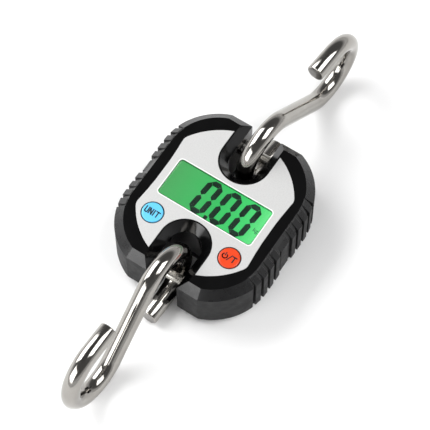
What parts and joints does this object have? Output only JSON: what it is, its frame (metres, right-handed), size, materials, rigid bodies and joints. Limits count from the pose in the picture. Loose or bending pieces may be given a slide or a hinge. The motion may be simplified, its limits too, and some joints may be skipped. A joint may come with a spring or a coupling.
{
  "type": "digital fish scale",
  "caption": "Hanging electronic scale with a backlit display, push buttons, a battery door in the back, and steel S-hooks that swing on pins in slots at its top and bottom.",
  "frame": {"origin": "middle of the scale, on the surface that it lies on with its display up", "axes": "+X to the right of the display, +Y towards the hook that the scale hangs from, +Z out of the display"},
  "size_m": [0.0808, 0.236, 0.045],
  "materials": {
    "black_abs": "gloss moulded ABS",
    "label_film": "satin printed film",
    "clear_lens": "clear polished",
    "display_green": "backlit liquid crystal, lit",
    "light_guide": "clear acrylic",
    "white_plastic": "moulded",
    "zebra_rubber": "moulded silicone",
    "board_green": "solder mask",
    "chip_black": "moulded epoxy",
    "nickel": "nickel plated",
    "zinc_steel": "bright zinc plated",
    "blue_plastic": "moulded, printed legend",
    "orange_plastic": "moulded, printed legend",
    "cell_aluminium": "machined",
    "gauge_foil": "polyimide film",
    "chrome_steel": "polished, chrome plated",
    "battery_wrap": "printed sleeve",
    "red_wire": "insulation",
    "black_wire": "insulation",
    "grey_wire": "insulation"
  },
  "bodies": {
    "case": {"front_cover": "black_abs", "back_cover": "black_abs", "face_label": "label_film", "display_lens": "clear_lens", "lcd_panel": "display_green", "lcd_backlight": "light_guide", "lcd_frame": "white_plastic", "upper_zebra_strip": "zebra_rubber", "lower_zebra_strip": "zebra_rubber", "main_board": "board_green", "processor_chip": "chip_black", "converter_chip": "chip_black", "memory_chip": "chip_black", "clock_crystal": "nickel", "unit_switch": "zinc_steel", "power_switch": "zinc_steel", "load_cell": "cell_aluminium", "strain_gauge": "gauge_foil", "upper_yoke": "zinc_steel", "lower_yoke": "zinc_steel", "upper_pin": "nickel", "lower_pin": "nickel", "upper_pin_clip": "zinc_steel", "lower_pin_clip": "zinc_steel", "upper_left_collar": "nickel", "upper_right_collar": "nickel", "lower_left_collar": "nickel", "lower_right_collar": "nickel", "battery_1": "battery_wrap", "battery_2": "battery_wrap", "link_contact": "nickel", "positive_contact": "nickel", "negative_contact": "nickel", "battery_spring_1": "nickel", "battery_spring_2": "nickel", "positive_wire": "red_wire", "negative_wire": "black_wire", "gauge_wires": "grey_wire", "upper_yoke_screw_1": "zinc_steel", "upper_yoke_screw_2": "zinc_steel", "lower_yoke_screw_1": "zinc_steel", "lower_yoke_screw_2": "zinc_steel", "case_screw_1": "zinc_steel", "board_screw_1": "zinc_steel", "case_screw_2": "zinc_steel", "board_screw_2": "zinc_steel", "case_screw_3": "zinc_steel", "board_screw_3": "zinc_steel", "case_screw_4": "zinc_steel", "board_screw_4": "zinc_steel"},
    "upper_hook": {"upper_hook": "chrome_steel"},
    "lower_hook": {"lower_hook": "chrome_steel"},
    "unit_button": {"unit_button": "blue_plastic", "unit_switch_plunger": "chip_black"},
    "power_button": {"power_button": "orange_plastic", "power_switch_plunger": "chip_black"},
    "battery_door": {"battery_door": "black_abs"}
  },
  "joints": [
    {"name": "upper_hook_swing", "type": "hinge", "parent": "case", "child": "upper_hook", "pos_m": [0.0021, 0.0414, 0.0214], "axis": [0.9972, -0.0697, -0.0262], "range_deg": [-90, 90]},
    {"name": "lower_hook_swing", "type": "hinge", "parent": "case", "child": "lower_hook", "pos_m": [0.0001, -0.0459, 0.0214], "axis": [-0.9989, 0.0366, -0.0297], "range_deg": [-90, 90]},
    {"name": "unit_button_press", "type": "slide", "parent": "case", "child": "unit_button", "axis": [0, 0, -1], "range_m": [0, 0.0004], "stiffness_N_per_m": 4000},
    {"name": "power_button_press", "type": "slide", "parent": "case", "child": "power_button", "axis": [0, 0, -1], "range_m": [0, 0.0004], "stiffness_N_per_m": 4000},
    {"name": "battery_door_slide", "type": "slide", "parent": "case", "child": "battery_door", "axis": [1, 0, 0], "range_m": [0, 0.008]}
  ]
}
